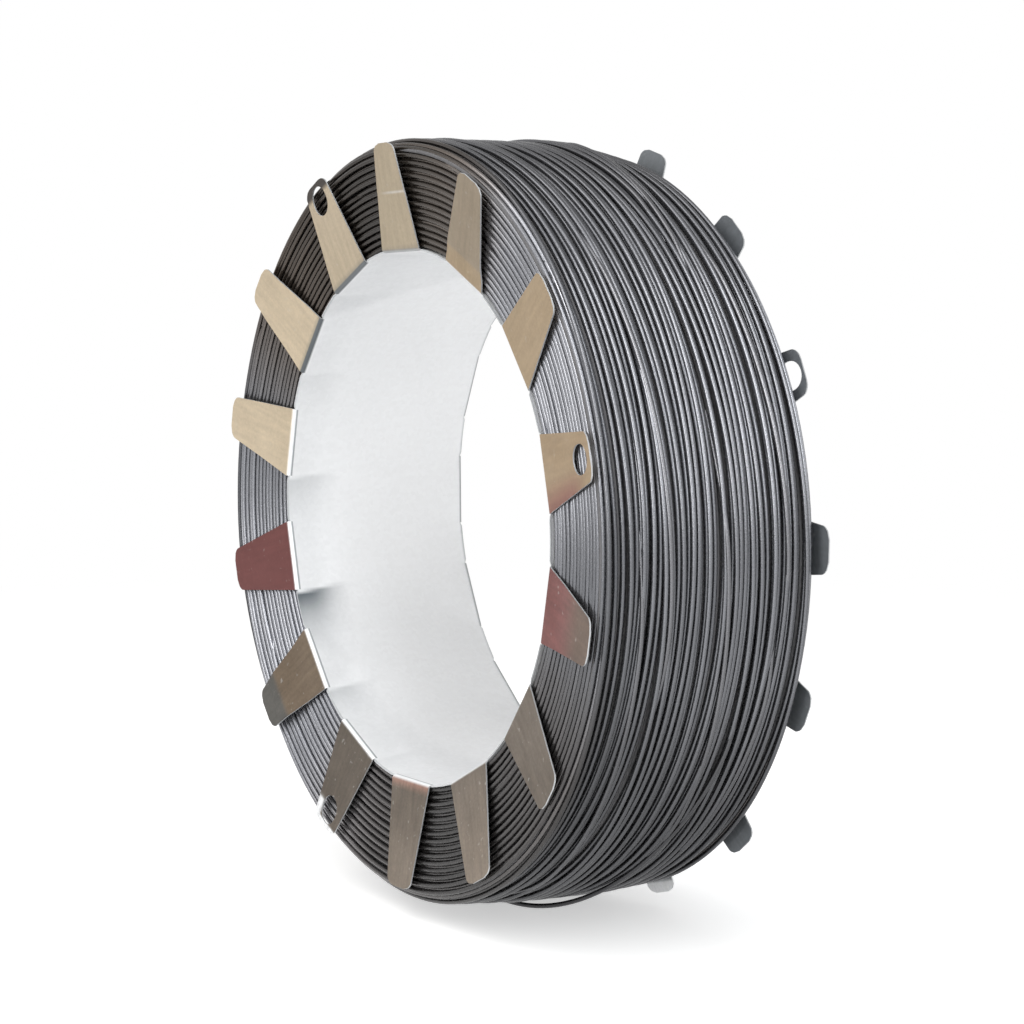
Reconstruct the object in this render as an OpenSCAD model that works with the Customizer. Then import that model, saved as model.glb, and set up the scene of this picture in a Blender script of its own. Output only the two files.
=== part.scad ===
// Coil of flux-cored welding wire, wound on a sheet liner with folded tabs at both ends.
// All sizes in mm. The coil's axis is along Y, its front end at minus Y, and Z is up.

/* [Liner] */
// Bore across the plain middle of the liner
bore_d = 300; // [285:1:310]
// Width of the liner over the folds of its tabs
liner_w = 123; // [100:1:130]
// Thickness of the liner's sheet
sheet_t = 0.8; // [0.6:0.1:1.2]
// Inside radius of the tab folds
fold_r = 1.5; // [1.2:0.1:2.5]
// How far the flat behind each tab runs into the bore
flat_run = 24; // [14:1:36]

/* [Tabs] */
// Tabs at each end
tab_count = 14; // [12:1:16]
// Reach of the tabs from the bore to their tips, measured square to the axis
tab_reach = 61.5; // [58:0.5:64]
// Tab width at the fold
tab_root_w = 42; // [34:1:44]
// Tab width at the tip
tab_tip_w = 25; // [22:1:30]
// Rounding of the tip corners
tab_corner_r = 8; // [4:0.5:9]
// How far the tabs lean outward from the end plane, in degrees
tab_lean = 8.5; // [3:0.5:10]
// How much further the tabs lean than the ends of the winding, in degrees
tab_spring = 2; // [0:0.5:3]

/* [Tie slots] */
// Slot length along the tab
slot_l = 17.5; // [17:0.5:20]
// Slot width across the tab
slot_w = 16; // [12:0.5:16.5]
// Sheet left between the slot and the tip
slot_rim = 5; // [3:0.5:7]
// Front tabs with a slot, counted clockwise from the top one
front_slots = [3, 8, 13];
// Back tabs with a slot, counted clockwise from the top as seen from the front
back_slots = [2, 7, 12];

/* [Winding] */
// Wire diameter
wire_d = 2.8; // [2:0.1:3.2]
// Depth of the winding over the liner at the middle of the width
winding_depth = 62.6; // [50:0.1:64]
// How much lower the winding is at its edges than at the middle
edge_drop = 2; // [1:0.5:6]
// Spacing of the loose turns on the outside
outer_pitch = 6.5; // [5:0.1:9]
// Clearance between the winding and the sheet
seat_gap = 0.4; // [0.3:0.05:0.6]

/* [Hidden] */
$fn = 180;

bore_r = bore_d / 2;
tip_r = bore_r + tab_reach;
wire_r = wire_d / 2;
pitch_angle = 360 / tab_count;
sin_lean = sin(tab_lean);
cos_lean = cos(tab_lean);
face_lean = tab_lean - tab_spring;

// Flats stand just outside the bore, so that the bore stays a true cylinder
flat_relief = 0.1;
root_margin = 1;
flat_r = bore_r + flat_relief;
flare_r = sqrt(pow(flat_r, 2) + pow(tab_root_w / 2 + root_margin, 2));

// Folds are a hair thinner than the rim and tabs a hair thinner again, so that each sits inside the last
inset = 0.02;
foot_len = 3;
tab_lap = 0.15;
fold_t = sheet_t - 2 * inset;
tab_t = fold_t - 2 * inset;
fold_in_r = fold_r + inset;
fold_out_r = fold_in_r + fold_t;

// Centre of the fold, from the axis and from the middle of the width
fold_u = flat_r + sheet_t + fold_r;
fold_z = liner_w / 2 - fold_out_r * cos_lean;
flare_z = fold_z - flat_run;
front_angle = 90;
back_angle = front_angle - pitch_angle / 2;

// Tab outline, with p from the fold to the tip and v across the tab
tab_len = (tip_r - fold_u + fold_out_r * sin_lean) / cos_lean;
root_v = tab_root_w / 2;
tip_v = tab_tip_w / 2;
side_len = sqrt(pow(tab_len, 2) + pow(root_v - tip_v, 2));
side_np = (root_v - tip_v) / side_len;
side_nv = tab_len / side_len;
corner_p = tab_len - tab_corner_r;
corner_v = tip_v - tab_corner_r * (1 - side_np) / side_nv;
corner_turn = atan2(side_nv, side_np);
corner_steps = 6;
slot_p = tab_len - slot_rim - slot_l / 2;
slot_steps = 10;

// Straight steps in the half circle of a turn
turn_steps = 5;

// Every second layer of the close-packed wire shows a turn at the ends
layer_pitch = 2 * wire_d * cos(30);

// Winding core, over which the proud turns stand by half a wire
seat_r = bore_r + sheet_t + seat_gap;
seat_flare_r = flare_r + sheet_t + seat_gap;
crown_r = seat_r + winding_depth - wire_r;
edge_r = crown_r - edge_drop;
face_offset = fold_z + fold_r * cos_lean - (seat_gap + wire_r) / cos_lean;
edge_z = face_z(edge_r);
end_turns = floor((edge_r - seat_flare_r - 2.4 * wire_r) / layer_pitch) + 1;
end_spare = edge_r - seat_flare_r - (end_turns - 1) * layer_pitch;
side_turns = floor((2 * edge_z - 2.4 * wire_r) / outer_pitch) + 1;

// Height of the core's end face at radius r, close to the tabs at their folds
function face_z(r) = face_offset + (r - fold_u + fold_r * sin_lean) * tan(face_lean);

// Radius of the core's outside at height z, a shallow barrel
function side_r(z) = crown_r - edge_drop * pow(z / edge_z, 2);

// Half circle of a proud turn about its centre, run clockwise and facing the given angle
function turn_arc(c, facing) =
    [for (i = [0 : turn_steps]) let (a = facing + 90 - 180 * i / turn_steps) c + wire_r * [cos(a), sin(a)]];

// Centre of an end turn and of an outside turn
function end_turn(i) = let (r = seat_flare_r + end_spare / 2 + i * layer_pitch) [r, face_z(r)];
function side_turn(i) = let (z = (i - (side_turns - 1) / 2) * outer_pitch) [side_r(z), z];

// Turned body with flared ends, made larger by grow all round and longer by over at each end
module flared_tube(grow, over) {
    slope = (flare_r - bore_r) / flat_run;
    end_r = flare_r + grow + slope * over;
    end_z = fold_z + over;
    mid_r = bore_r + grow;
    front = [[mid_r, flare_z], [end_r, end_z], [0, end_z]];
    back = [[0, -end_z], [end_r, -end_z], [mid_r, -flare_z]];
    rotate_extrude()
        polygon(concat(back, front));
}

// Blocks that cut the flats of one end, each beyond the given distance from the axis
module flat_cutters(first_angle, distance) {
    for (k = [0 : tab_count - 1])
        rotate(first_angle - k * pitch_angle)
            translate([distance, -root_v - 3 * root_margin, flare_z - 1])
                cube([10, tab_root_w + 6 * root_margin, flat_run + 4]);
}

// Flared tube with the flats of both ends cut into it
module flattened_tube(grow, over) {
    difference() {
        flared_tube(grow, over);
        flat_cutters(front_angle, flat_r + grow);
        mirror([0, 0, 1])
            flat_cutters(back_angle, flat_r + grow);
    }
}

// Fold between the rim and the tab, with a foot set into the rim
module fold() {
    reach = 3 * fold_out_r;
    translate([-fold_out_r, -root_v, -foot_len])
        cube([fold_t, tab_root_w, foot_len]);
    rotate([90, 0, 0])
        linear_extrude(tab_root_w, center = true)
            intersection() {
                difference() {
                    circle(fold_out_r);
                    circle(fold_in_r);
                }
                polygon([[0, 0], [-reach, 0], [-reach, reach], reach * [-sin_lean, cos_lean]]);
            }
}

// Tapered tab with rounded tip corners
module tab_outline() {
    arc = [for (i = [0 : corner_steps]) corner_turn * (1 - i / corner_steps)];
    upper = [for (a = arc) [corner_p + tab_corner_r * cos(a), corner_v + tab_corner_r * sin(a)]];
    lower = [for (i = [corner_steps : -1 : 0]) [upper[i][0], -upper[i][1]]];
    polygon(concat([[-tab_lap, root_v - inset]], upper, lower, [[-tab_lap, inset - root_v]]));
}

// Slot with round ends for a tie wire
module slot_outline() {
    end_p = (slot_l - slot_w) / 2;
    arc = [for (i = [0 : slot_steps]) 180 * i / slot_steps - 90];
    outer = [for (a = arc) [slot_p + end_p + slot_w / 2 * cos(a), slot_w / 2 * sin(a)]];
    inner = [for (a = arc) [slot_p - end_p - slot_w / 2 * cos(a), -slot_w / 2 * sin(a)]];
    polygon(concat(outer, inner));
}

// Tab with its fold, lying on the side of plus X
module tab(slotted) {
    translate([fold_u, 0, fold_z]) {
        fold();
        rotate([0, -tab_lean, 0])
            translate([0, 0, fold_in_r + inset])
                linear_extrude(tab_t)
                    difference() {
                        tab_outline();
                        if (slotted)
                            slot_outline();
                    }
    }
}

// Tabs of one end, the first at the given angle and the rest clockwise
module tabs(first_angle, slots) {
    for (k = [0 : tab_count - 1])
        rotate(first_angle - k * pitch_angle)
            tab(len(search(k, slots)) > 0);
}

// Sheet liner: a tube with flattened rims and the folded tabs
module liner() {
    color("Silver")
        rotate([90, 0, 0])
            union() {
                difference() {
                    flattened_tube(sheet_t, 0);
                    flattened_tube(0, 1);
                }
                tabs(front_angle, front_slots);
                mirror([0, 0, 1])
                    tabs(back_angle, back_slots);
            }
}

// Half section of the winding, with every turn that stands proud
module winding_section() {
    inner = [[seat_r, flare_z], [seat_flare_r, fold_z], [seat_flare_r, face_z(seat_flare_r)]];
    ends = [for (i = [0 : end_turns - 1], p = turn_arc(end_turn(i), 90 + face_lean)) p];
    front = concat(inner, ends, [[edge_r, edge_z]]);
    side = [for (i = [side_turns - 1 : -1 : 0], p = turn_arc(side_turn(i), 0)) p];
    back = [for (i = [len(front) - 1 : -1 : 0]) [front[i][0], -front[i][1]]];
    polygon(concat(front, side, back));
}

// Wound wire, one turned solid
module wire_coil() {
    color("DimGray")
        rotate([90, 0, 0])
            rotate_extrude()
                winding_section();
}

liner();
wire_coil();
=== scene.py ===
import bpy
import numpy as np
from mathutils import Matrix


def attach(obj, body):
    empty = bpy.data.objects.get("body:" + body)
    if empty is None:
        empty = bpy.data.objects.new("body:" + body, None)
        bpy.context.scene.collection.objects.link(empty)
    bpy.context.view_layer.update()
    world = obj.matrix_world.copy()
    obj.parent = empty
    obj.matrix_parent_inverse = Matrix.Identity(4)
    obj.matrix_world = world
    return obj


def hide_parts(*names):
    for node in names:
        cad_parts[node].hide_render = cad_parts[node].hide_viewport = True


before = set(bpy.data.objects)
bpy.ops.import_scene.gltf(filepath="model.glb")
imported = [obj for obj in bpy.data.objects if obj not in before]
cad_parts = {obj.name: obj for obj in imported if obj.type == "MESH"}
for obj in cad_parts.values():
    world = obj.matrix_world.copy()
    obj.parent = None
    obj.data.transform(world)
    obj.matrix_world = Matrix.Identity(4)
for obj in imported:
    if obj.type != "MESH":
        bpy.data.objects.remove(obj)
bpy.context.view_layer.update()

# Sizes in millimetres, the same as the solids have. The axis is along Y and the front end is at minus Y.
BORE_R = 150.0
HALF_W = 61.5
SHEET_T = 0.8
FOLD_R = 1.5
FLAT_RUN = 24.0
TABS = 14
TAB_REACH = 61.5
ROOT_W = 42.0
TIP_W = 25.0
CORNER_R = 8.0
LEAN = np.radians(8.5)
FACE_LEAN = np.radians(6.5)
SLOT_L = 17.5
SLOT_W = 16.0
SLOT_RIM = 5.0
WIRE_R = 1.4
SEAT_GAP = 0.4

FLAT_R = BORE_R + 0.1
FLARE_R = np.hypot(FLAT_R, ROOT_W / 2 + 1)
FOLD_U = FLAT_R + SHEET_T + FOLD_R
FOLD_Y = HALF_W - (FOLD_R + SHEET_T) * np.cos(LEAN)
TAB_PITCH = 2 * np.pi / TABS
FRONT_ANGLE = np.radians(90.9)
BACK_ANGLE = FRONT_ANGLE - TAB_PITCH / 2

# Front tabs, counted clockwise from the top: stray in degrees, shorter reach, other tip width
TAB_STRAY = (2.0, 0.3, -0.2, 0.25, -0.3, -0.4, -0.15, -0.1, 0.25, 0.1, 0.3, -0.5, -0.2, 0.5)
TAB_SHORT = {1: 2.0}
TIP_WIDTH = {0: 21.5}
# Kinks of the front tabs, as place along the tab, angle and length of the bend
FRONT_KINKS = {
    0: [(0.52, -0.10, 1.2), (0.545, 0.10, 1.2)],
    1: [(0.10, -0.12, 2.5), (0.24, 0.12, 2.5)],
    4: [(0.3, -0.04, 8)],
    9: [(0.30, -0.07, 5), (0.66, 0.12, 4)],
    11: [(0.45, -0.03, 10)],
    12: [(0.2, -0.05, 8), (0.7, 0.05, 8)]}
# Back tabs: stray in degrees, more lean, and a reach that grows towards the bottom
BACK_STRAY = (-2.0, -0.8, -1.6, -2.2, -1.0, -1.2, 1.5, 1.0, 0.0, 0.0, 0.0, 0.0, 0.0, 0.0)
BACK_LEAN = np.radians(1.0)
BACK_REACH = 5.0
BACK_SAG = 8.0
BACK_MORE = {0: 4.0, 1: 1.0, 5: 4.0, 6: 4.3}
# Slotted tabs, with the sheet left at the tip
FRONT_SLOTS = {3: 4.0, 8: 2.4, 13: 2.2}
BACK_SLOTS = {2: 1.8, 7: 5.0, 12: 5.0}
# Rows of a tab before its fold, and how far the tab stands inside the flat there
FOOT_ROWS = (-1.5, -1.2, -0.4)
FOOT_PROUD = 0.05
# Cells round the tube
TUBE_STEPS = 32 * TABS
# Rim of the tube: how far it runs on at a tab, how much more between tabs, and the angle where that begins
RIM_LEAST = 0.2
RIM_MORE = 1.5
RIM_FROM = np.radians(7.7)
RIM_EASE = np.radians(1.0)
# Stain of the tube and of the cut edges; a fully stained tab has 1
TUBE_STAIN = 0.06
EDGE_STAIN = 0.3

# Colours of the sheet
TAN = np.array([0.59, 0.49, 0.355])
SAND = np.array([0.435, 0.36, 0.257])
DUN = np.array([0.314, 0.255, 0.185])
GOLD = np.array([0.40, 0.30, 0.19])
UMBER = np.array([0.17, 0.138, 0.108])
RUSSET = np.array([0.154, 0.050, 0.046])
LATTEN = np.array([0.373, 0.272, 0.168])
SEPIA = np.array([0.140, 0.094, 0.068])
BISTRE = np.array([0.17, 0.126, 0.086])
# Colour of painted shade on one bent tab tip
BENT_TIP_SHADE = np.array([0.06, 0.05, 0.044])
# Slate grey for the back tabs as painted shade
SLATE_SHADE = np.array([0.20, 0.215, 0.23])
ZINC = np.array([0.97, 0.977, 0.988])
CUT_EDGE = np.array([0.58, 0.59, 0.60])
FOLD_SHADE = np.array([0.20, 0.22, 0.235])
ASH = np.array([0.105, 0.100, 0.090])
ROSE = np.array([0.34, 0.20, 0.155])
# Tints of the front tabs from the top clockwise: their own colours, with the lower tabs made darker as
# painted shade
TAB_TINTS = (
    SAND, DUN, GOLD, LATTEN, SEPIA, 0.87 * UMBER, 1.16 * UMBER, 0.95 * UMBER, 0.68 * UMBER, BISTRE,
    RUSSET, TAN, 1.02 * TAN, 0.86 * TAN)

# Colours of the wire
STEEL_GREY = (0.208, 0.212, 0.229)
STEEL_BROWN = (0.158, 0.130, 0.109)
SHADE_DARK = (0.10, 0.10, 0.105)
SHADE_LIGHT = (0.17, 0.165, 0.17)

# Winding: mean radius of its outside, and half its width there
WINDING_R = 215.5
WINDING_HALF = 66
END_RINGS = 15
# How far the turned body lies below the outside and behind the ends
BODY_BELOW = 9.5
BODY_BEHIND = 6.5

# Noise patterns lie mostly between these values
NOISE_LOW, NOISE_HIGH = 0.3, 0.7

chance = np.random.default_rng(14)


def smooth_step(x):
    """Zero up to 0, one from 1, and 3x^2 - 2x^3 between."""
    x = np.clip(x, 0, 1)
    return x * x * (3 - 2 * x)


def blend(a, b, share):
    """Colours a taken towards b by a share for each point."""
    return a + (b - a) * share[:, None]


def grid_quads(rows, cols, close_rows=False, close_cols=False, keep=None):
    """Corner numbers of the cells of a rows by cols grid of points, row after row; keep leaves cells out."""
    i = np.arange(rows if close_rows else rows - 1)[:, None]
    j = np.arange(cols if close_cols else cols - 1)[None, :]
    i2, j2 = (i + 1) % rows, (j + 1) % cols
    cells = np.stack([i * cols + j, i * cols + j2, i2 * cols + j2, i2 * cols + j], axis=-1)
    return cells.reshape(-1, 4) if keep is None else cells[keep]


def new_piece(name, points, quads, finish, marks=None):
    """One mesh object at the origin, from points in millimetres and four-cornered faces.

    marks gives names to values or colours that the points carry."""
    mesh = bpy.data.meshes.new(name)
    mesh.vertices.add(len(points))
    mesh.vertices.foreach_set("co", (points * 0.001).astype(np.float32).ravel())
    mesh.loops.add(quads.size)
    mesh.loops.foreach_set("vertex_index", quads.astype(np.int32).ravel())
    mesh.polygons.add(len(quads))
    mesh.polygons.foreach_set("loop_start", np.arange(0, quads.size, 4, dtype=np.int32))
    mesh.polygons.foreach_set("use_smooth", np.ones(len(quads), dtype=bool))
    for key, values in (marks or {}).items():
        if values.ndim == 1:
            layer = mesh.attributes.new(key, "FLOAT", "POINT")
            layer.data.foreach_set("value", values.astype(np.float32))
        else:
            rgba = np.concatenate([values, np.ones((len(values), 1))], axis=1)
            layer = mesh.attributes.new(key, "FLOAT_COLOR", "POINT")
            layer.data.foreach_set("color", rgba.astype(np.float32).ravel())
    mesh.update(calc_edges=True)
    mesh.materials.append(finish)
    piece = bpy.data.objects.new(name, mesh)
    bpy.context.scene.collection.objects.link(piece)
    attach(piece, "root")
    return piece


# Materials

def new_finish(name):
    """A material with an empty node tree, its shader and its output."""
    finish = bpy.data.materials.new(name)
    finish.use_nodes = True
    nodes = finish.node_tree.nodes
    nodes.clear()
    out = nodes.new("ShaderNodeOutputMaterial")
    shader = nodes.new("ShaderNodeBsdfPrincipled")
    finish.node_tree.links.new(shader.outputs["BSDF"], out.inputs["Surface"])
    return finish, nodes, finish.node_tree.links, shader


def add_noise(nodes, links, place, scale, detail=3.0, rough=0.5):
    """A noise pattern that follows the given place."""
    noise = nodes.new("ShaderNodeTexNoise")
    noise.inputs["Scale"].default_value = scale
    noise.inputs["Detail"].default_value = detail
    noise.inputs["Roughness"].default_value = rough
    links.new(place, noise.inputs["Vector"])
    return noise.outputs["Fac"]


def add_range(nodes, links, value, low, high, to_low, to_high):
    """A value taken from the range low..high to the range to_low..to_high, and held at its ends."""
    node = nodes.new("ShaderNodeMapRange")
    node.inputs["From Min"].default_value = low
    node.inputs["From Max"].default_value = high
    node.inputs["To Min"].default_value = to_low
    node.inputs["To Max"].default_value = to_high
    links.new(value, node.inputs["Value"])
    return node.outputs["Result"]


def add_mix(nodes, links, kind, factor, a, b):
    """Two colours mixed; each of factor, a and b is a socket or a fixed value."""
    node = nodes.new("ShaderNodeMix")
    node.data_type = "RGBA"
    node.blend_type = kind
    for socket, value in ((node.inputs["Factor"], factor), (node.inputs[6], a), (node.inputs[7], b)):
        if isinstance(value, bpy.types.NodeSocket):
            links.new(value, socket)
        elif isinstance(value, tuple):
            socket.default_value = (*value, 1.0)
        else:
            socket.default_value = value
    return node.outputs[2]


def add_tone(nodes, links, share, colour, noise, dark, light):
    """A colour that a noise pattern makes darker and lighter, by a share."""
    tone = add_range(nodes, links, noise, NOISE_LOW, NOISE_HIGH, dark, light)
    return add_mix(nodes, links, "MULTIPLY", share, colour, tone)


def add_mark(nodes, key, output):
    """The value or colour that each point of the piece carries under this name."""
    node = nodes.new("ShaderNodeAttribute")
    node.attribute_name = key
    return node.outputs[output]


def add_bump(nodes, links, shader, height, strength, distance):
    """Fine relief on the shader's normal."""
    bump = nodes.new("ShaderNodeBump")
    bump.inputs["Strength"].default_value = strength
    bump.inputs["Distance"].default_value = distance
    links.new(height, bump.inputs["Height"])
    links.new(bump.outputs["Normal"], shader.inputs["Normal"])


def wire_finish():
    """Drawn steel wire: grey, browner by the mark warm, as light as the mark tone says, with fine scuffs.
    The mark tone holds painted light and shade, with some random spread.
    """
    finish, nodes, links, shader = new_finish("drawn_wire_steel")
    place = nodes.new("ShaderNodeTexCoord").outputs["Object"]
    patches = add_noise(nodes, links, place, 9.0)
    scuffs = add_noise(nodes, links, place, 420.0, 2.0)
    colour = add_mix(nodes, links, "MIX", add_mark(nodes, "warm", "Fac"), STEEL_GREY, STEEL_BROWN)
    colour = add_mix(nodes, links, "MULTIPLY", 1.0, colour, add_mark(nodes, "tone", "Color"))
    colour = add_tone(nodes, links, 1.0, colour, patches, 0.85, 1.15)
    gloss = add_range(nodes, links, scuffs, NOISE_LOW, NOISE_HIGH, 0.24, 0.29)
    links.new(colour, shader.inputs["Base Color"])
    links.new(gloss, shader.inputs["Roughness"])
    shader.inputs["Metallic"].default_value = 0.72
    add_bump(nodes, links, shader, scuffs, 0.01, 0.0003)
    return finish


def shade_finish():
    """Dull dark wire below the visible turns, which shows only through the gaps; its darkness is painted
    shade.
    """
    finish, nodes, links, shader = new_finish("shaded_wire_below")
    place = nodes.new("ShaderNodeTexCoord").outputs["Object"]
    mottle = add_noise(nodes, links, place, 120.0)
    colour = add_mix(nodes, links, "MIX", mottle, SHADE_DARK, SHADE_LIGHT)
    links.new(colour, shader.inputs["Base Color"])
    shader.inputs["Roughness"].default_value = 0.7
    return finish


def zinc_finish():
    """Zinc-coated sheet: the colour each point carries, with crystal flowers all over.
    Some of that colour is painted shade and painted highlight.

    By the mark stain it also gets clouds, grain, pale specks and rolling lines. The lines follow the marks
    lane and run, the distances across and along the sheet. With less stain it is less like bare metal."""
    finish, nodes, links, shader = new_finish("zinc_coated_sheet")
    place = nodes.new("ShaderNodeTexCoord").outputs["Object"]
    stain = add_mark(nodes, "stain", "Fac")
    clouds = add_noise(nodes, links, place, 22.0, 4.0, 0.6)
    grain = add_noise(nodes, links, place, 620.0, 2.0)
    sheet_place = nodes.new("ShaderNodeCombineXYZ")
    links.new(add_mark(nodes, "lane", "Fac"), sheet_place.inputs["X"])
    links.new(add_mark(nodes, "run", "Fac"), sheet_place.inputs["Y"])
    lines = add_noise(nodes, links, sheet_place.outputs["Vector"], 1.0)
    flowers = nodes.new("ShaderNodeTexVoronoi")
    flowers.inputs["Scale"].default_value = 420.0
    links.new(place, flowers.inputs["Vector"])
    flower = nodes.new("ShaderNodeSeparateColor")
    links.new(flowers.outputs["Color"], flower.inputs["Color"])
    flower_tone = add_range(nodes, links, flower.outputs["Red"], 0, 1, 0.975, 1.015)
    colour = add_mark(nodes, "tint", "Color")
    colour = add_tone(nodes, links, stain, colour, clouds, 0.88, 1.08)
    colour = add_tone(nodes, links, stain, colour, grain, 0.91, 1.08)
    colour = add_tone(nodes, links, stain, colour, lines, 0.86, 1.14)
    colour = add_mix(nodes, links, "MULTIPLY", 1.0, colour, flower_tone)
    specks = add_range(nodes, links, add_noise(nodes, links, place, 260.0, 2.0), 0.67, 0.76, 0.0, 0.3)
    speckled = add_mix(nodes, links, "MIX", specks, colour, (0.6, 0.59, 0.57))
    colour = add_mix(nodes, links, "MIX", stain, colour, speckled)
    gloss = add_range(nodes, links, clouds, NOISE_LOW, NOISE_HIGH, 0.55, 0.4)
    metal = add_range(nodes, links, stain, 0.1, 0.4, 0.42, 0.6)
    links.new(colour, shader.inputs["Base Color"])
    links.new(gloss, shader.inputs["Roughness"])
    links.new(metal, shader.inputs["Metallic"])
    add_bump(nodes, links, shader, grain, 0.06, 0.0003)
    return finish


# Sheet liner

def sheet_shell(mid, normal, close_rows=False, keep=None):
    """A sheet on a grid: both skins stand half the thickness off the middle along the normal.

    Edges of a cell that no other cell shares are free and get a strip between the skins. The points of the
    first skin come first, then those of the second, then those of the strips."""
    rows, cols = mid.shape[:2]
    flat_mid, flat_n = mid.reshape(-1, 3), normal.reshape(-1, 3)
    cells = grid_quads(rows, cols, close_rows=close_rows, keep=keep)
    a, b, d = flat_mid[cells[:, 0]], flat_mid[cells[:, 1]], flat_mid[cells[:, 3]]
    facing = np.einsum("ij,ij->i", np.cross(b - a, d - a), flat_n[cells[:, 0]])
    if np.median(facing) < 0:
        cells = cells[:, ::-1]
    count = len(flat_mid)
    outer, inner = flat_mid + flat_n * SHEET_T / 2, flat_mid - flat_n * SHEET_T / 2
    starts, ends = cells.ravel(), np.roll(cells, -1, axis=1).ravel()
    free = ~np.isin(starts * count + ends, ends * count + starts)
    starts, ends = starts[free], ends[free]
    strip = np.stack([outer[starts], inner[starts], inner[ends], outer[ends]], axis=1).reshape(-1, 3)
    strip_quads = 2 * count + np.arange(len(strip)).reshape(-1, 4)
    points = np.concatenate([outer, inner, strip])
    quads = np.concatenate([cells, cells[:, ::-1] + count, strip_quads])
    return points, quads


def tube_shade(t, y, off, lip):
    """How much painted shade the tube gets at angle t and distance y from the middle plane.

    Painted shade of a crease starts at the lower side of each front tab, falls off downwards and fades into
    the bore. It is deepest below one tab on the left. Bands of painted shade darken the front on top, below
    and on the left, and the lip paints a dark shaded line on both rims."""
    depth = FOLD_Y + y
    turned = np.degrees(t)
    below = (np.degrees(off) - 8.3 + 0.05 * depth) % 25.7
    crease_shade = np.exp(-below / 8) * smooth_step(below) * smooth_step((36 - depth) / 30)
    left = 0.12 + 0.25 * smooth_step((turned - 160) / 20) - 0.3 * smooth_step((turned - 240) / 20)
    deepest = 1 + 2.2 * smooth_step(1.2 - np.abs(turned - 208) / 13)
    top = smooth_step((np.sin(t) - 0.6) / 0.2) * smooth_step((4.5 * (135 - turned) - depth) / 12)
    low = smooth_step((turned - 218) / 8) * smooth_step((300 - turned) / 20)
    low = low * smooth_step((21 + 1.05 * (turned - 222) - depth) / 14)
    band = 0.08 * top + 0.08 * low + 0.02 * (1 - np.cos(t)) * smooth_step((30 - y) / 80)
    band = band + 0.07 * smooth_step((-np.cos(t) - 0.5) / 0.4) * smooth_step((30 - depth) / 24)
    rim = (0.55 + 0.15 * np.sin(6 * t + 1.0)) * np.abs(lip)
    return np.maximum(np.maximum(crease_shade * left * deepest, 0) + band, rim)


def liner_tube():
    """Tube of the liner: near its ends the radius is the smaller of a flaring cone and flats at the tabs.

    Two slow waves take the plain middle out of true. Between the tabs the rim runs on up to the folds."""
    theta = np.arange(TUBE_STEPS) * 2 * np.pi / TUBE_STEPS
    ramp = FOLD_Y - FLAT_RUN * np.linspace(0, 1, 13)
    plain = np.linspace(-1, 1, 9)[1:-1] * (FOLD_Y - FLAT_RUN)
    y = np.concatenate([[-FOLD_Y] * 3, -ramp, plain, ramp[::-1], [FOLD_Y] * 3])
    lip = np.concatenate([[-1.0, -0.7, -0.3], np.zeros(len(y) - 6), [0.3, 0.7, 1.0]])
    t, yy = np.meshgrid(theta, y, indexing="ij")
    first = np.where(yy < 0, FRONT_ANGLE, BACK_ANGLE)
    step = np.floor((t - first) / TAB_PITCH + 0.5).astype(int)
    stray = np.where(yy < 0, np.array(TAB_STRAY)[-step % TABS], np.array(BACK_STRAY)[-step % TABS])
    off = t - first - step * TAB_PITCH - np.radians(stray)
    into = np.clip((np.abs(yy) - FOLD_Y + FLAT_RUN) / FLAT_RUN, 0, 1)
    cone = BORE_R + (FLARE_R - BORE_R) * into
    r = np.minimum(cone, FLAT_R / np.cos(off)) + SHEET_T / 2
    r = r + (0.25 * np.sin(2 * t + 0.6) + 0.12 * np.sin(5 * t + yy / 21)) * (1 - into)
    between = smooth_step((np.abs(off) - RIM_FROM) / RIM_EASE)
    yy = yy + lip * (RIM_LEAST + RIM_MORE * between)
    mid = np.stack([r * np.cos(t), yy, r * np.sin(t)], axis=-1)
    normal = np.stack([-np.cos(t), np.zeros_like(t), -np.sin(t)], axis=-1)
    points, quads = sheet_shell(mid, normal, close_rows=True)
    # The tube's tint is zinc taken towards FOLD_SHADE by painted shade; its cut edges get half of it, and
    # the right wall is made darker as painted shade.
    skin = tube_shade(t, yy, off, lip).ravel()
    shade = np.concatenate([skin, skin, np.full(len(points) - 2 * skin.size, 0.5)])
    around = np.arctan2(points[:, 2], points[:, 0])
    right_wall_shade = 1 - 0.14 * smooth_step((np.cos(around) - 0.15) / 0.4)
    marks = {
        "tint": blend(ZINC, FOLD_SHADE, shade) * right_wall_shade[:, None],
        "stain": np.full(len(points), TUBE_STAIN),
        "lane": 0.3 * BORE_R * around,
        "run": 0.03 * points[:, 1]}
    return points, quads, marks


def tab_rows(length, fold_len, slot_start, slot_end, kinks):
    """Places along a tab's path, counted from the start of its fold.

    They lie closer in the fold, at the slot's ends, at the tip and at each kink."""
    ease = SLOT_W / 2 * (1 - np.cos(np.linspace(0, np.pi / 2, 8)))
    tip = length - (length - slot_end) * np.cos(np.linspace(0, np.pi / 2, 7))[1:]
    plate = [np.linspace(0, slot_start, 16), slot_start + ease[1:], slot_end - ease[::-1], tip]
    plate = np.concatenate(plate)
    for place, bend, spread in kinks:
        plate = np.union1d(plate, place * length + spread * np.array([-0.5, -0.25, 0.0, 0.25, 0.5]))
    return np.concatenate([FOOT_ROWS, np.linspace(0, fold_len, 9)[:-1], fold_len + plate])


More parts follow.
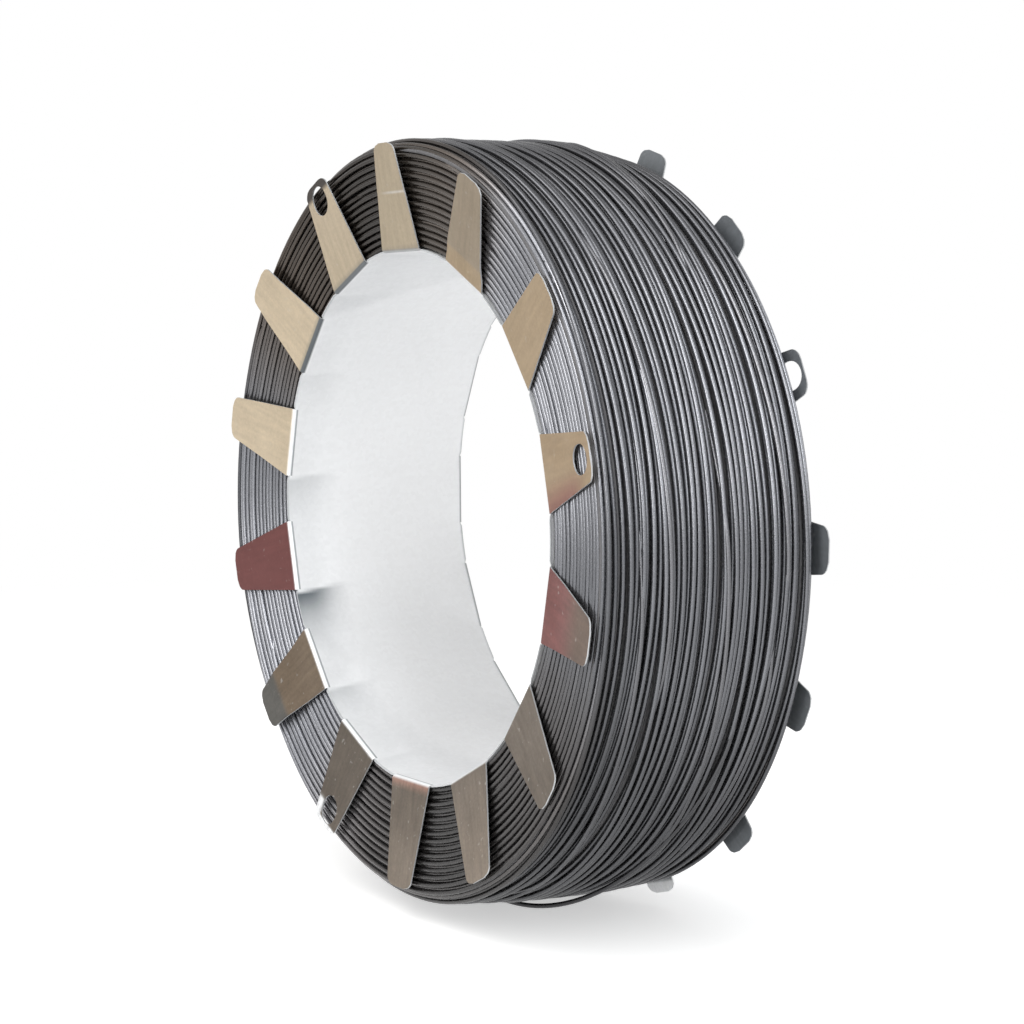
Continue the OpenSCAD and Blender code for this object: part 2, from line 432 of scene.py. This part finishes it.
def tab_path(s, fold_len, length, lean, kinks):
    """Path of a tab at places s: its distances from the axis and from the middle plane, and its slope.

    The slope starts along the axis, turns outward through the fold and changes by an angle at each kink.
    Short steps along the slope add up to the two distances."""
    turn = np.clip(s / fold_len, 0, 1) * (np.pi / 2 - lean)
    for place, bend, spread in kinks:
        turn = turn + bend * smooth_step((s - fold_len - place * length) / spread + 0.5)
    fine = np.linspace(s[0], s[-1], 1600)
    fine_turn = np.interp(fine, s, turn)
    step = fine[1] - fine[0]
    u = FLAT_R + SHEET_T / 2 - FOOT_PROUD + np.interp(s, fine, np.cumsum(np.sin(fine_turn)) * step)
    w = FOLD_Y + s[0] + np.interp(s, fine, np.cumsum(np.cos(fine_turn)) * step)
    return u, w, turn


def tab_widths(p, length, tip_w, slot_start, slot_end, slotted):
    """Half widths at places p past the fold: of the tab, a taper with round corners, and of its slot.

    Beyond the slot's round ends, and on a tab without one, the second is a share of the first."""
    corner = length - CORNER_R
    half = ROOT_W / 2 + (tip_w - ROOT_W) / 2 * np.clip(p / length, 0, 1)
    corner_v = np.interp(corner, p, half) - CORNER_R + 0.5
    past = np.clip((p - corner) / CORNER_R, 0, 1)
    half = np.where(p > corner, np.minimum(half, corner_v + CORNER_R * np.sqrt(1 - past ** 2)), half)
    plain = half * 0.45
    if not slotted:
        return half, plain
    round_r = SLOT_W / 2
    past_end = np.maximum(slot_start + round_r - p, p - slot_end + round_r)
    slot_half = np.sqrt(np.clip(round_r ** 2 - np.clip(past_end, 0, round_r) ** 2, 0, None))
    beyond = np.maximum(slot_start - p, p - slot_end)
    return half, np.where(beyond > 1e-6, plain * smooth_step(beyond / 12 + 0.1), slot_half)


def tab_sheet(angle, side, rim, lean, reach, tip_w, kinks, twist):
    """One folded tab: its bent path out of the rim is carried across the tapered width and twisted a little.

    The slot leaves rim millimetres of sheet at the tip, and there is none where rim is nothing. For the
    points of both skins it also returns the place along the tab, the place across it and that distance."""
    fold_len = (FOLD_R + SHEET_T / 2) * (np.pi / 2 - lean)
    length = (reach + BORE_R - FOLD_U) / np.cos(LEAN)
    slotted = rim > 0
    slot_end = length - (rim if slotted else SLOT_RIM)
    slot_start = slot_end - SLOT_L
    s = tab_rows(length, fold_len, slot_start, slot_end, kinks)
    u, w, turn = tab_path(s, fold_len, length, lean, kinks)
    p = s - fold_len
    half, slot_half = tab_widths(p, length, tip_w, slot_start, slot_end, slotted)
    half, slot_half = half[:, None], slot_half[:, None]
    flank = (half - slot_half) * np.linspace(0, 1, 5)
    gap = slot_half * np.linspace(-1, 1, 7)[1:-1]
    across = np.concatenate([flank - half, gap, slot_half + flank], axis=1)
    rows, cols = across.shape
    keep = np.ones((rows - 1, cols - 1), dtype=bool)
    if slotted:
        middle = (p[:-1] + p[1:]) / 2
        keep[np.ix_((middle > slot_start) & (middle < slot_end), np.arange(4, 10))] = False
    lift = twist * across * np.clip(p / length, 0, 1)[:, None]
    normal_u, normal_w = -np.cos(turn)[:, None], np.sin(turn)[:, None]
    uu = u[:, None] + lift * normal_u
    ww = (w[:, None] + lift * normal_w) * side
    c, sn = np.cos(angle), np.sin(angle)
    mid = np.stack([uu * c - across * sn, ww, uu * sn + across * c], axis=-1)
    normal = np.stack([normal_u * c, side * normal_w, normal_u * sn], axis=-1)
    points, quads = sheet_shell(mid, np.broadcast_to(normal, mid.shape), keep=keep)
    place = np.tile(np.repeat(p / length, cols), 2)
    cross = np.tile((across / half).ravel(), 2)
    lane = np.tile(0.3 * across.ravel(), 2)
    return points, quads, place, cross, lane


def tab_tint(k, place, cross):
    """Colour on a front tab: its own tint, with a lighter root, a painted highlight along a crease, russet
    stretches, a near-white ring or a tip darkened by painted shade.

    It is zinc up to the fold, with painted shade as a dark line before the fold or as a dark fold."""
    base = np.repeat(TAB_TINTS[k][None, :], len(place), axis=0)
    # Painted highlight along tab 1's crease
    if k == 0:
        share = smooth_step(1 - np.abs(place - 0.532) / 0.02) * smooth_step(0.9 - cross)
        base = blend(base, ZINC * 0.8, 0.4 * share)
    if k == 1:
        base = blend(base, 0.93 * GOLD, 1 - smooth_step((place - 0.16) / 0.03))
    if k == 3:
        share = smooth_step((-cross - 0.1) / 0.9) * smooth_step((0.9 - place) / 0.4)
        base = blend(base, RUSSET * 1.5, 0.75 * share)
    if k == 4:
        base = blend(base, RUSSET * 1.3, 0.9 * (1 - smooth_step((place - 0.3) / 0.5)))
    if k in (6, 7):
        base = base * (0.84 + 0.36 * place[:, None])
    if k == 7:
        base = blend(base, ROSE, smooth_step((0.05 - place) / 0.02))
    if k == 8:
        ring = smooth_step((-cross - 0.5) / 0.15) * smooth_step((place - 0.76) / 0.05)
        base = blend(base, ZINC * 0.9, np.maximum(ring, smooth_step((place - 0.94) / 0.02)))
    if k == 9:
        base = blend(base, ASH * 0.9, smooth_step((place - 0.62) / 0.1))
    # Painted shade on tab 14's bent tip
    if k == 13:
        base = blend(base, BENT_TIP_SHADE, smooth_step((place - 0.87) / 0.03))
    base = blend(ZINC, base, smooth_step(place / 0.03 + 1))
    # Painted shade: a dark fold on three tabs, and a dark line before the fold on others
    dark_fold = {0: 0.6, 12: 1.0, 13: 0.95}.get(k, 0.0)
    in_fold = smooth_step((0.008 - place) / 0.02) * smooth_step((place + 0.06) / 0.02)
    base = blend(base, 0.6 * FOLD_SHADE, dark_fold * in_fold)
    dark_line = 0.75 if 8 <= k <= 11 else 0.6 if 1 <= k <= 7 else 0.0
    in_line = smooth_step((place + 0.068) / 0.003) * smooth_step((-0.046 - place) / 0.004)
    return blend(base, FOLD_SHADE, dark_line * in_line)


def back_tint(k, place):
    """Colour on a back tab: slate grey from the fold on as painted shade, and one tip near-white on its
    inner skin as a painted highlight.
    """
    share = 0.7 * smooth_step(place / 0.02 + 2.4) + 0.3 * smooth_step(place / 0.03)
    base = blend(ZINC, SLATE_SHADE, share)
    inner = np.arange(len(place)) >= len(place) // 2
    return blend(base, ZINC, inner * smooth_step((place - 0.9) / 0.03)) if k == 6 else base


def front_tab(k):
    """Front tab number k, clockwise from the top, with the marks of its points."""
    angle = FRONT_ANGLE - k * TAB_PITCH + np.radians(TAB_STRAY[k])
    lean = LEAN + np.radians(chance.uniform(-0.3, 0.6))
    reach = TAB_REACH - TAB_SHORT.get(k, 0.0)
    twist = chance.uniform(-0.02, 0.02)
    tip_w = TIP_WIDTH.get(k, TIP_W)
    tab = tab_sheet(angle, -1, FRONT_SLOTS.get(k, 0.0), lean, reach, tip_w, FRONT_KINKS.get(k, []), twist)
    points, quads, place, cross, lane = tab
    stain = 1.0 if 4 <= k <= 9 else 0.5
    return points, quads, tab_marks(k, len(points), tab_tint(k, place, cross), stain, place, lane)


def back_tab(k):
    """Back tab number k, clockwise from the top as seen from the front, with the marks of its points."""
    angle = BACK_ANGLE - k * TAB_PITCH + np.radians(BACK_STRAY[k])
    lean = LEAN + np.radians(chance.uniform(-0.3, 0.6)) + BACK_LEAN
    reach = TAB_REACH + BACK_REACH - BACK_SAG * np.sin(angle) + BACK_MORE.get(k, 0.0)
    twist = chance.uniform(-0.02, 0.02)
    tab = tab_sheet(angle, 1, BACK_SLOTS.get(k, 0.0), lean, reach, TIP_W, [], twist)
    points, quads, place, cross, lane = tab
    return points, quads, tab_marks(k, len(points), back_tint(k, place), 0.5, place, lane)


def tab_marks(k, count, colour, stain, place, lane):
    """Marks of a tab's points: those of both skins, and then those of the cut edges, up to count in all."""
    edge = count - len(place)
    return {
        "tint": np.concatenate([colour, np.repeat(CUT_EDGE[None, :], edge, axis=0)]),
        "stain": np.concatenate([stain * smooth_step(place / 0.03 + 1), np.full(edge, EDGE_STAIN)]),
        "lane": np.concatenate([lane + 20.0 * k, np.full(edge, 20.0 * k)]),
        "run": np.concatenate([2.0 * place, np.zeros(edge)])}


def make_liner(finish):
    """Liner in one piece of sheet: the tube and all the tabs, joined in one mesh."""
    sheets = [liner_tube()]
    for k in range(TABS):
        sheets.append(front_tab(k))
        sheets.append(back_tab(k))
    starts = np.cumsum([0] + [len(points) for points, quads, marks in sheets])
    points = np.concatenate([points for points, quads, marks in sheets])
    quads = np.concatenate([sheet[1] + start for sheet, start in zip(sheets, starts)])
    marks = {key: np.concatenate([sheet[2][key] for sheet in sheets]) for key in sheets[0][2]}
    piece = new_piece("tabbed_liner", points, quads, finish, marks)
    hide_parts("liner")


# Winding

def face_y(r):
    """Distance from the middle plane to an end of the winding, which grows along a slant with radius r."""
    fold_top = FOLD_Y + FOLD_R * np.cos(LEAN) - SEAT_GAP
    return fold_top + (r - FOLD_U + FOLD_R * np.sin(LEAN)) * np.tan(FACE_LEAN)


def crown(theta, y):
    """Outside radius of the winding: a shallow barrel that sags, more at the back.

    It has one flatter shoulder, and on top a hump before a step down to the back."""
    up, down, across = np.maximum(np.sin(theta), 0), np.maximum(-np.sin(theta), 0), y / WINDING_HALF
    shoulder = 2.2 * np.exp(-((np.cos(theta - np.radians(145)) - 1) / 0.12) ** 2)
    sag = (7.4 + 2.2 * across) * down - (3.4 + 3.0 * across) * up
    hump = 2.4 * np.exp(-((y - 26) / 14) ** 2) - 2.6 * smooth_step((y - 38) / 22)
    return WINDING_R + sag - (2.0 + 1.2 * down) * np.abs(across) ** 2.4 - shoulder + hump * up ** 4


def side_tone(theta):
    """Painted light and shade on the outside turns: lightest on the upper sides, darker on top and darkest
    below.
    """
    s = np.sin(theta)
    return 0.35 + 0.71 * smooth_step((s + 0.8) / 1.2) - 0.55 * smooth_step((s - 0.6) / 0.4)


def end_tone(theta):
    """Tone of the turns on the ends, painted light: a painted highlight along one slanting diameter, and
    painted shade, darkest on top and below.
    """
    along = np.abs(np.cos(theta - np.radians(38))) ** 2.5
    s = np.sin(theta) ** 6
    return 0.50 + 1.05 * along - 0.1 * np.cos(theta) - np.where(np.sin(theta) > 0, 0.53, 0.5) * s


def brown(theta):
    """How brown the ends of the winding are: brown on top and less below, but grey along one slanting
    diameter, as part of the painted highlight there.
    """
    share = smooth_step((np.abs(np.sin(theta - np.radians(20))) - 0.5) / 0.4)
    return share * (0.75 + 0.25 * np.sign(np.sin(theta)))


def section_highlight(sides):
    """Tone round a wire's section, painted light: a painted highlight on the outer front flank, painted
    shade on the other sides.
    """
    a = np.arange(sides) * 2 * np.pi / sides
    return 0.74 + 0.56 * np.maximum(np.cos(a + 0.8), 0) ** 4


def carried_rings(theta, r, y, w, sides):
    """Round wire carried along turns: each place on a path gets a circle of radius w, square to the turn.

    theta, r, y and w are arrays of turns by places along the turn. At both ends w goes to nothing, which
    closes the wire."""
    a = np.arange(sides) * 2 * np.pi / sides
    ring_r = r[..., None] + w[..., None] * np.cos(a)
    ring_y = y[..., None] + w[..., None] * np.sin(a)
    turned = theta[..., None]
    points = np.stack([ring_r * np.cos(turned), ring_y, ring_r * np.sin(turned)], axis=-1)
    turns, places = theta.shape
    cells = grid_quads(places, sides, close_cols=True)
    quads = (np.arange(turns)[:, None, None] * places * sides + cells[None]).reshape(-1, 4)
    return points.reshape(-1, 3), quads


def closed_ends(shape):
    """Wire radius along each path, tapered to nothing at its first and last place."""
    w = np.full(shape, WIRE_R)
    w[:, [0, -1]] = 0.0
    w[:, [1, -2]] = WIRE_R * 0.8
    return w


def wave(x, waves, seed):
    """Sum of a few sine waves with fixed chance phases, about one high, for slow wander of a wire."""
    source = np.random.default_rng(seed)
    total = np.zeros_like(x)
    for k in waves:
        total = total + np.sin(k * x + source.uniform(0, 2 * np.pi)) * source.uniform(0.5, 1.0)
    return total / np.sqrt(len(waves))


def end_turns(name, side, seed, finish):
    """Turns that show on one end, each a ring of two rounds that dips into the winding at its start and end.

    It lies against the tabs, climbs one layer and goes round again, half a ring further out and deeper."""
    source = np.random.default_rng(seed)
    s = np.linspace(-0.025, 2.025, 300)[None, :]
    start = source.uniform(0, 2 * np.pi, (END_RINGS, 1))
    theta = start - side * 2 * np.pi * s
    second = smooth_step((s - 0.97) / 0.06)
    place = np.arange(END_RINGS)[:, None] + 0.5 * second + source.uniform(-0.07, 0.07, (END_RINGS, 1))
    place = place / END_RINGS
    inner = FLARE_R + SHEET_T + 2.2
    r = inner + (crown(theta, WINDING_HALF * side) - 1.6 - inner) * place
    r = r + 0.28 * wave(theta + 0 * place, (2, 3, 5), seed + 1)
    r = r + 0.12 * wave(theta + 90 * place, (4, 7, 9), seed + 2)
    deep = source.uniform(0.0, 0.7, (END_RINGS, 1)) + second * source.uniform(1.7, 2.3, (END_RINGS, 1))
    deep = deep + 0.25 * (1 + wave(theta + 40 * place, (1, 2, 4), seed + 3))
    dive = 5.0 * (smooth_step(-s / 0.025) + smooth_step((s - 2.0) / 0.025))
    y = side * (face_y(r) - WIRE_R - np.clip(deep, 0, None) - dive)
    points, quads = carried_rings(theta, r, y, closed_ends(theta.shape), 8)
    # Painted light: the painted highlight and shade of end_tone, a random spread, and the deeper second
    # round made lighter so the gaps are less dark.
    tone = end_tone(theta) * source.uniform(0.85, 1.15, (END_RINGS, 1)) * (1 + 0.7 * second)
    marks = {"warm": np.repeat(brown(theta).ravel(), 8), "tone": np.repeat(tone.ravel(), 8)}
    new_piece(name, points, quads, finish, marks)


def drift(theta, y, seed):
    """How far turns are pushed sideways: three waves over the surface that bunch the turns and part them."""
    source = np.random.default_rng(seed)
    total = np.zeros_like(y)
    for length, rounds in ((19.0, 1), (29.0, -2), (47.0, 1)):
        phase = source.uniform(0, 2 * np.pi)
        total = total + length * 0.05 * np.sin(2 * np.pi * y / length + rounds * theta + phase)
    return total


def spread_turns(count, low, high, uneven, seed):
    """Places of turns across the width, with uneven steps that add up to the whole."""
    source = np.random.default_rng(seed)
    steps = 1 + uneven * source.uniform(-1, 1, count)
    return low + (high - low) * np.concatenate([[0], np.cumsum(steps)]) / steps.sum()


def laid_turns(name, places, finish, depth, seed, per_turn, sides, wander, tone, hand):
    """A layer of the winding: one wire that goes round and round at a depth below the outside.

    Its place across the width is read from a list of turns and pushed sideways by the drift times wander."""
    source = np.random.default_rng(seed)
    turns = len(places) - 1
    s = np.linspace(0, turns, turns * per_turn + 1)
    theta = hand * 2 * np.pi * s + source.uniform(0, 2 * np.pi)
    y = np.interp(s, np.arange(turns + 1), places)
    y = y + wander * drift(theta, y, seed + 1)
    lift = 0.35 * wave(s * 2 * np.pi, (0.73, 1.19, 2.41), seed + 3)
    r = crown(theta, y) - WIRE_R - depth + np.clip(lift, -0.7, 0.4)
    limit = face_y(r) - WIRE_R
    y = np.clip(y, -limit, limit - 3.4)
    points, quads = carried_rings(theta[None], r[None], y[None], closed_ends((1, len(s))), sides)
    # The tone is painted light and shade: the layer's tone, side_tone, a painted highlight round each wire,
    # and darker at the front edge and low at the front; the slow wave is a random spread.
    shade = tone * side_tone(theta) * (1 + 0.15 * wave(s * 2 * np.pi, (0.31, 0.57, 0.83), seed + 4))
    low_front = np.maximum(-np.sin(theta), 0) * smooth_step((-y - 15) / 30)
    shade = shade * (1 - 0.35 * smooth_step((-y - 53) / 8)) * (1 - 0.25 * low_front)
    warm = brown(theta) * (0.12 + 0.88 * smooth_step((-y - 52) / 10))
    marks = {"warm": np.repeat(warm, sides), "tone": np.outer(shade, section_highlight(sides)).ravel()}
    new_piece(name, points, quads, finish, marks)


def loose_wire(name, theta, r, y, tone, finish):
    """Loose stretches of wire on the outside, grey, with the outside turns' painted light and shade times
    tone.
    """
    points, quads = carried_rings(theta, r, y, closed_ends(theta.shape), 8)
    marks = {"warm": np.full(len(points), 0.1), "tone": np.outer(tone * side_tone(theta), section_highlight(8)).ravel()}
    new_piece(name, points, quads, finish, marks)


def crossing_strands(finish):
    """Strands across the outer layer: each leaves the winding, crosses some turns and dips in again."""
    begin = np.radians([62.0, 20.0, -8.0, 140.0, 215.0, 95.0, 112.0, 60.0, 10.0])[:, None]
    sweep = np.radians([-95.0, -85.0, -70.0, 80.0, -75.0, -60.0, -70.0, -80.0, -90.0])[:, None]
    y_from = np.array([-34.0, 6.0, 44.0, 20.0, -20.0, 30.0, 14.0, 40.0, -44.0])[:, None]
    y_by = np.array([9.0, 12.0, -10.0, -12.0, 14.0, -8.0, 6.0, 8.0, 7.0])[:, None]
    t = np.linspace(0, 1, 120)[None, :]
    theta = begin + sweep * t
    y = y_from + y_by * smooth_step(t)
    over = np.minimum(smooth_step(t / 0.25), smooth_step((1 - t) / 0.25))
    r = crown(theta, y) - WIRE_R - 4.6 + 5.4 * over
    loose_wire("crossing_strands", theta, r, y, 1.1, finish)


def slack_strand(finish):
    """The one slack turn: it comes off the lower right side, hangs below the winding and goes back in."""
    t = np.linspace(0, 1, 160)[None, :]
    theta = np.radians(-20.0 - 125.0 * t)
    y = 28.0 - 28.0 * smooth_step(t / 0.6)
    hang = 5.0 * smooth_step((-np.degrees(theta) - 44) / 40) * smooth_step((np.degrees(theta) + 145) / 50)
    over = np.minimum(smooth_step(t / 0.1), smooth_step((1 - t) / 0.1))
    r = crown(theta, y) - WIRE_R - 2.2 + 3.0 * over + hang
    loose_wire("slack_strand", theta, r, y, 0.8, finish)


def winding_body(finish):
    """Turned body below the visible turns: a four-sided section that follows the sag is carried round."""
    theta = np.arange(180)[:, None] * 2 * np.pi / 180
    r_in, r_out = FLARE_R + SHEET_T + 1.0 + 0 * theta, crown(theta, 0.0) - BODY_BELOW
    w_in, w_out = face_y(r_in) - BODY_BEHIND, face_y(r_out) - BODY_BEHIND
    run = np.linspace(0, 1, 9)[None, :-1]
    front_r, back_r = r_in + (r_out - r_in) * run, r_out + (r_in - r_out) * run
    front_y, back_y = -w_in + (w_in - w_out) * run, w_out + (w_in - w_out) * run
    r = np.concatenate([front_r, r_out + 0 * run, back_r, r_in + 0 * run], axis=1)
    y = np.concatenate([front_y, w_out * (2 * run - 1), back_y, w_in * (1 - 2 * run)], axis=1)
    points = np.stack([r * np.cos(theta), y, r * np.sin(theta)], axis=-1).reshape(-1, 3)
    quads = grid_quads(*r.shape, close_rows=True, close_cols=True)
    piece = new_piece("winding_body", points, quads, finish)
    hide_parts("wire_coil")


def make_winding(steel, shade):
    """All the wire, in the order from the inside out."""
    third = spread_turns(44, -65, 62, 0.05, 3)
    second = spread_turns(31, -65, 62, 0.25, 5)
    outer = spread_turns(20, -63, 61, 0.3, 8)
    winding_body(shade)
    end_turns("front_end_turns", -1, 31, steel)
    end_turns("back_end_turns", 1, 57, steel)
    laid_turns("third_layer", third, shade, 4.9, 71, per_turn=96, sides=6, wander=0.1, tone=1.0, hand=-1)
    laid_turns("second_layer", second, steel, 2.4, 83, per_turn=140, sides=8, wander=0.6, tone=1.0, hand=1)
    laid_turns("outer_layer", outer, steel, 0.0, 97, per_turn=180, sides=8, wander=1.0, tone=1.1, hand=-1)
    crossing_strands(steel)
    slack_strand(steel)


# Floor, light and camera

FLOOR_Z = -229.6
FLOOR_GLOW = 0.5
WARM_WHITE = (1.0, 0.99, 0.97)
COOL_WHITE = (0.95, 0.98, 1.0)
PLAIN_WHITE = (1.0, 1.0, 1.0)


def add_seen(nodes, links):
    """One for rays that show the background: from the camera, by reflection or through clear material."""
    path = nodes.new("ShaderNodeLightPath")
    first, second = nodes.new("ShaderNodeMath"), nodes.new("ShaderNodeMath")
    first.operation = second.operation = "MAXIMUM"
    links.new(path.outputs["Is Camera Ray"], first.inputs[0])
    links.new(path.outputs["Is Glossy Ray"], first.inputs[1])
    links.new(first.outputs["Value"], second.inputs[0])
    links.new(path.outputs["Is Transmission Ray"], second.inputs[1])
    return second.outputs["Value"]


def floor_finish():
    """Pale paint near the coil that keeps its shadow, and plain white further off."""
    finish, nodes, links, shader = new_finish("pale_floor_paint")
    away = nodes.new("ShaderNodeVectorMath")
    away.operation = "LENGTH"
    links.new(nodes.new("ShaderNodeTexCoord").outputs["Object"], away.inputs[0])
    near = add_range(nodes, links, away.outputs["Value"], 0.45, 1.5, 1.0, 0.0)
    paint = add_mix(nodes, links, "MULTIPLY", 1.0, (0.92, 0.92, 0.92), near)
    white = nodes.new("ShaderNodeMath")
    white.operation = "MULTIPLY"
    links.new(add_range(nodes, links, near, 0.0, 1.0, 1.0, FLOOR_GLOW), white.inputs[0])
    links.new(add_seen(nodes, links), white.inputs[1])
    links.new(paint, shader.inputs["Base Color"])
    links.new(white.outputs["Value"], shader.inputs["Emission Strength"])
    shader.inputs["Emission Color"].default_value = (1.0, 1.0, 1.0, 1.0)
    shader.inputs["Specular IOR Level"].default_value = 0.0
    shader.inputs["Roughness"].default_value = 1.0
    return finish


def make_floor():
    """Wide pale disc under the coil, rings of points about its centre."""
    r = np.array([0.0, 400.0, 1500.0, 6000.0, 40000.0])[:, None]
    theta = np.arange(96)[None, :] * 2 * np.pi / 96
    points = np.stack([r * np.cos(theta), r * np.sin(theta), FLOOR_Z + 0 * r * theta], axis=-1)
    quads = grid_quads(r.size, theta.size, close_cols=True)
    mesh = bpy.data.meshes.new("pale_floor")
    mesh.from_pydata((points.reshape(-1, 3) * 0.001).tolist(), [], quads.tolist())
    mesh.materials.append(floor_finish())
    floor = bpy.data.objects.new("pale_floor", mesh)
    bpy.context.scene.collection.objects.link(floor)


def make_world():
    """Soft studio surround: white at the horizon and greyer overhead."""
    world = bpy.data.worlds.new("studio")
    bpy.context.scene.world = world
    world.use_nodes = True
    nodes, links = world.node_tree.nodes, world.node_tree.links
    nodes.clear()
    out = nodes.new("ShaderNodeOutputWorld")
    back = nodes.new("ShaderNodeBackground")
    place = nodes.new("ShaderNodeTexCoord")
    split = nodes.new("ShaderNodeSeparateXYZ")
    links.new(place.outputs["Generated"], split.inputs["Vector"])
    up = add_range(nodes, links, split.outputs["Z"], 0.18, 0.75, 1.0, 0.4)
    links.new(add_mix(nodes, links, "MULTIPLY", 1.0, (1.0, 1.0, 1.0), up), back.inputs["Color"])
    links.new(add_range(nodes, links, add_seen(nodes, links), 0.0, 1.0, 0.6, 1.0), back.inputs["Strength"])
    links.new(back.outputs["Background"], out.inputs["Surface"])


def add_facing(name, data, around, above, away):
    """A lamp or camera that faces the bore's centre.

    It is placed by its angle round the coil, its angle above the level and its distance in metres."""
    thing = bpy.data.objects.new(name, data)
    bpy.context.scene.collection.objects.link(thing)
    az, el = np.radians(around), np.radians(above)
    thing.location = (away * np.cos(el) * np.sin(az), -away * np.cos(el) * np.cos(az), away * np.sin(el))
    thing.rotation_euler = (np.pi / 2 - el, 0.0, az)
    return thing


def make_lamp(name, around, above, away, size, power, colour):
    """Soft panel that faces the coil."""
    data = bpy.data.lights.new(name, "AREA")
    data.shape = "RECTANGLE"
    data.size, data.size_y = size
    data.energy = power
    data.color = colour
    add_facing(name, data, around, above, away)


def make_camera():
    """Camera at the photograph's angle, with a small shift for its framing."""
    data = bpy.data.cameras.new("camera")
    data.lens = 102.2
    data.sensor_width = 36.0
    data.shift_x = 0.011
    data.shift_y = 0.0002
    data.clip_end = 200.0
    bpy.context.scene.camera = add_facing("camera", data, 59.1, 6.05, 1.676)


make_camera()
make_world()
make_floor()
make_lamp("left_panel", 24.0, 30.0, 2.3, (0.8, 2.9), 33.0, WARM_WHITE)
make_lamp("far_left_panel", -32.0, 48.0, 2.3, (0.9, 1.4), 10.0, WARM_WHITE)
make_lamp("right_panel", 80.0, 36.0, 2.3, (0.5, 3.0), 21.0, COOL_WHITE)
make_lamp("top_panel", 40.0, 80.0, 2.6, (1.6, 1.6), 8.0, PLAIN_WHITE)
make_liner(zinc_finish())
make_winding(wire_finish(), shade_finish())

bpy.context.scene.view_settings.view_transform = "Standard"
